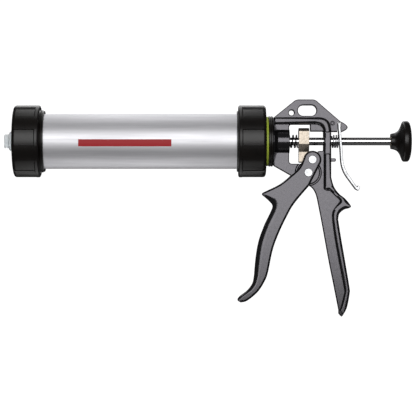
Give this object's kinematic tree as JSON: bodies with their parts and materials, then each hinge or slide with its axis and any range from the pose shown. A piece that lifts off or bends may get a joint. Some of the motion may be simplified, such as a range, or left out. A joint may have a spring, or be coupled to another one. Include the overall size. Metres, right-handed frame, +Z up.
{
  "type": "caulking gun",
  "caption": "Hand-driven caulking gun with a closed aluminium barrel, screw caps, a push rod with a knob, a squeeze trigger and a cast handle.",
  "frame": {"origin": "centre of the bounding box", "axes": "+X along the barrel from the nozzle to the knob, +Z up from the handle to the barrel, Y across"},
  "size_m": [0.407, 0.072, 0.2168],
  "materials": {
    "aluminium_tube": "satin anodised",
    "black_plastic": "moulded, lightly textured",
    "black_paint": "gloss powder coat on a casting",
    "chrome_rod": "polished hard chrome",
    "zinc_steel": "bright zinc plated",
    "dog_steel": "yellow passivated, machined",
    "white_plastic": "translucent polyethylene",
    "lime_plastic": "moulded",
    "rubber": "matt",
    "cup_plastic": "moulded",
    "bronze": "sintered",
    "brass": "turned",
    "spring_black": "blackened wire",
    "spring_steel": "drawn wire"
  },
  "bodies": {
    "frame": {"frame_casting": "black_paint", "adapter_disc": "black_plastic", "friction_ring": "lime_plastic", "swivel_washer": "zinc_steel", "retaining_nut": "zinc_steel", "front_rod_bush": "bronze", "rear_rod_bush": "bronze", "pivot_bush": "bronze", "pivot_pin": "zinc_steel", "pivot_pin_clip": "zinc_steel", "return_spring": "spring_black", "lever_spring": "spring_steel"},
    "rear_cap": {"rear_cap": "black_plastic"},
    "barrel_end": {"rear_gasket": "rubber"},
    "barrel": {"barrel_tube": "aluminium_tube", "front_collar": "black_plastic", "rear_collar": "black_plastic", "front_gasket": "rubber"},
    "nozzle": {"nozzle": "white_plastic"},
    "front_cap": {"front_cap": "black_plastic"},
    "plunger": {"plunger_rod": "chrome_rod", "piston_nut": "zinc_steel", "piston_disc": "aluminium_tube", "piston_cup": "cup_plastic", "piston_backing": "aluminium_tube", "piston_back_nut": "zinc_steel", "knob": "black_plastic", "knob_insert": "brass"},
    "trigger": {"trigger": "black_paint", "push_pin": "zinc_steel", "push_pin_clip": "zinc_steel"},
    "dog": {"drive_dog": "dog_steel"},
    "lever": {"release_lever": "zinc_steel"}
  },
  "joints": [
    {"name": "barrel_swivel", "type": "hinge", "parent": "frame", "child": "rear_cap", "pos_m": [0.0559, 0, 0.0666], "axis": [-1, 0, 0], "continuous": true},
    {"name": "barrel_draw", "type": "slide", "parent": "rear_cap", "child": "barrel_end", "axis": [-1, 0, 0], "range_m": [0, 0.0181]},
    {"name": "barrel_unscrew", "type": "hinge", "parent": "barrel_end", "child": "barrel", "pos_m": [0.0519, 0, 0.0666], "axis": [-1, 0, 0], "range_deg": [0, 1080]},
    {"name": "front_cap_draw", "type": "slide", "parent": "barrel", "child": "nozzle", "axis": [-1, 0, 0], "range_m": [0, 0.0181]},
    {"name": "front_cap_unscrew", "type": "hinge", "parent": "nozzle", "child": "front_cap", "pos_m": [-0.1931, 0, 0.0666], "axis": [-1, 0, 0], "range_deg": [0, 1080]},
    {"name": "plunger_slide", "type": "slide", "parent": "frame", "child": "plunger", "axis": [1, 0, 0], "range_m": [-0.042, 0.155]},
    {"name": "trigger_squeeze", "type": "hinge", "parent": "frame", "child": "trigger", "pos_m": [0.1, 0, 0.0353], "axis": [0, -1, 0], "range_deg": [0, 26], "stiffness_Nm_per_rad": 1, "springref_deg": -14.32, "deforming": ["return_spring"]},
    {"name": "dog_feed", "type": "slide", "parent": "frame", "child": "dog", "axis": [-1, 0, 0], "range_m": [0, 0.0062]},
    {"name": "lever_release", "type": "hinge", "parent": "frame", "child": "lever", "pos_m": [0.1307, 0, 0.0848], "axis": [0, 1, 0], "range_deg": [0, 6], "stiffness_Nm_per_rad": 0.5, "springref_deg": -17.19, "deforming": ["lever_spring"]}
  ],
  "couplings": [
    {"joint": "barrel_draw", "follows": "barrel_unscrew", "m_per_rad": 0.00095493},
    {"joint": "front_cap_draw", "follows": "front_cap_unscrew", "m_per_rad": 0.00095493},
    {"joint": "dog_feed", "follows": "trigger_squeeze", "m_per_rad": 0.013376}
  ]
}
